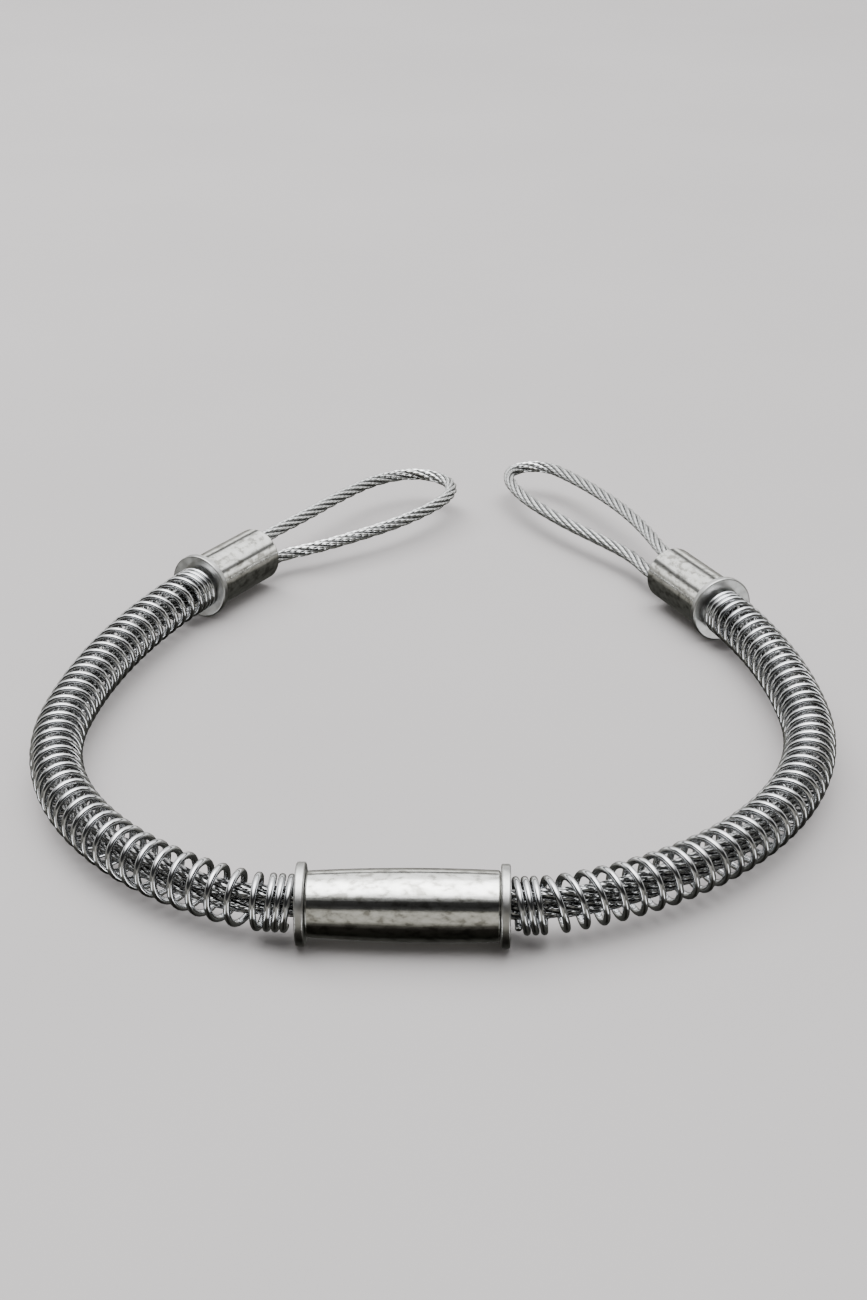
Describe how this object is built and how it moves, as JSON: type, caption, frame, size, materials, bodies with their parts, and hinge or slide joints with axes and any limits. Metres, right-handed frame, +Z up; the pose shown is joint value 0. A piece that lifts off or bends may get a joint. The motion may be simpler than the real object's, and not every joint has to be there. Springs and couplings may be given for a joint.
{
  "type": "wire rope sling",
  "caption": "Spring-loaded wire rope sling for hose couplings: folded rope arms with an eye at each end, sliding end sleeves and a crimped centre sleeve.",
  "frame": {"origin": "middle of the centre sleeve, on its axis", "axes": "+X along the centre sleeve towards the right arm, +Y towards the eyes, +Z up from the surface that the sling lies on"},
  "size_m": [0.186, 0.2661, 0.017],
  "materials": {
    "sleeve_steel": "plated steel tube, satin with fine scratches along it",
    "washer_steel": "plated pressed washer, darker satin with bright rubbed rims",
    "spring_wire": "bright galvanised spring wire, fairly glossy",
    "rope_strands": "bright galvanised wire rope, six outer strands round a core"
  },
  "bodies": {
    "sling": {"centre_sleeve": "sleeve_steel", "left_centre_washer": "washer_steel", "right_centre_washer": "washer_steel", "left_spring": "spring_wire", "right_spring": "spring_wire", "left_rope": "rope_strands", "right_rope": "rope_strands"},
    "left_end": {"left_end_sleeve": "sleeve_steel", "left_end_washer": "washer_steel"},
    "right_end": {"right_end_sleeve": "sleeve_steel", "right_end_washer": "washer_steel"}
  },
  "joints": [
    {"name": "left_sleeve_slide", "type": "hinge", "parent": "sling", "child": "left_end", "pos_m": [0.11743, 0.06888, 0], "axis": [0, 0, 1], "range_deg": [0, 10], "stiffness_Nm_per_rad": 40, "springref_deg": -5.73, "deforming": ["left_spring"]},
    {"name": "right_sleeve_slide", "type": "hinge", "parent": "sling", "child": "right_end", "pos_m": [-0.08836, 0.07979, 0], "axis": [0, 0, -1], "range_deg": [0, 11.1], "stiffness_Nm_per_rad": 32, "springref_deg": -6.3, "deforming": ["right_spring"]}
  ]
}
